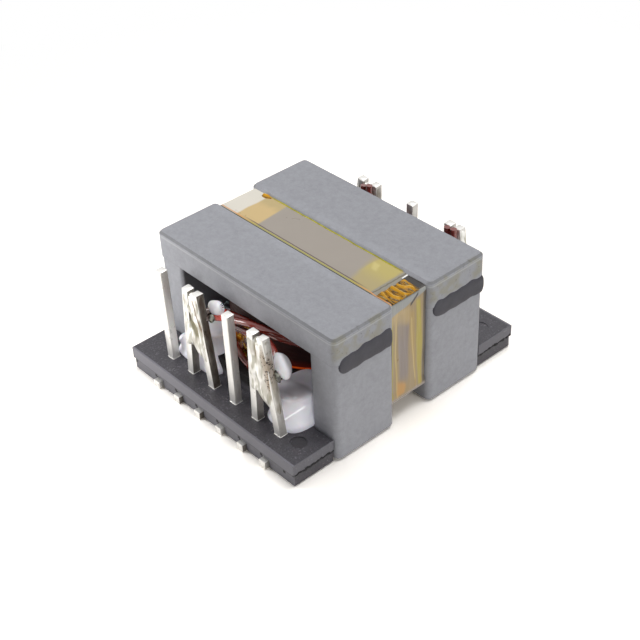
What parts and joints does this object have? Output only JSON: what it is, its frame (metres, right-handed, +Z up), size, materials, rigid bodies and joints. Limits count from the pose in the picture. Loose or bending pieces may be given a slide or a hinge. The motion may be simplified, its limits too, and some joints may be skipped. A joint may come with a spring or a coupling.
{
  "type": "surface-mount common mode choke",
  "caption": "Surface-mount common mode choke: a taped, split ferrite core around a wound bobbin, with bent square-wire terminals on black rails along both sides.",
  "frame": {"origin": "centre of the footprint, on the plane of the solder feet", "axes": "+Z up, X along the terminal rows, Y across the part from the row of six (front, -Y) to the row of five (rear, +Y)"},
  "size_m": [0.0198, 0.0232, 0.011],
  "materials": {
    "ferrite": "fired ferrite, matte grey with a fine grain",
    "bobbin_plastic": "black moulded phenolic, satin",
    "tinned_wire": "bright tin over square copper-alloy wire",
    "solder": "uneven silver-white solder with flux marks",
    "enamelled_copper": "red-brown glossy enamel",
    "amber_film": "translucent amber film, glossy",
    "coil_film": "translucent amber film, glossy",
    "silicone": "white silicone, smooth and soft",
    "epoxy": "dark grey cured epoxy"
  },
  "bodies": {
    "root": {"bobbin": "bobbin_plastic", "coil_tape": "coil_film", "core_lower": "ferrite", "core_tape": "amber_film", "core_upper": "ferrite", "epoxy_bead_front_left": "epoxy", "epoxy_bead_front_right": "epoxy", "epoxy_bead_rear_left": "epoxy", "epoxy_bead_rear_right": "epoxy", "interwinding_tape": "coil_film", "lead_front_left": "enamelled_copper", "lead_front_right": "enamelled_copper", "lead_rear_left": "enamelled_copper", "lead_rear_right": "enamelled_copper", "silicone_ball_left": "silicone", "silicone_ball_right": "silicone", "silicone_front_left": "silicone", "silicone_front_right": "silicone", "silicone_rear_left": "silicone", "silicone_rear_right": "silicone", "solder_front_left": "solder", "solder_front_right": "solder", "solder_rear_left": "solder", "solder_rear_right": "solder", "terminal_front_1": "tinned_wire", "terminal_front_2": "tinned_wire", "terminal_front_3": "tinned_wire", "terminal_front_4": "tinned_wire", "terminal_front_5": "tinned_wire", "terminal_front_6": "tinned_wire", "terminal_rear_1": "tinned_wire", "terminal_rear_2": "tinned_wire", "terminal_rear_3": "tinned_wire", "terminal_rear_4": "tinned_wire", "terminal_rear_5": "tinned_wire", "winding_inner": "enamelled_copper", "winding_outer": "enamelled_copper"}
  },
  "joints": []
}
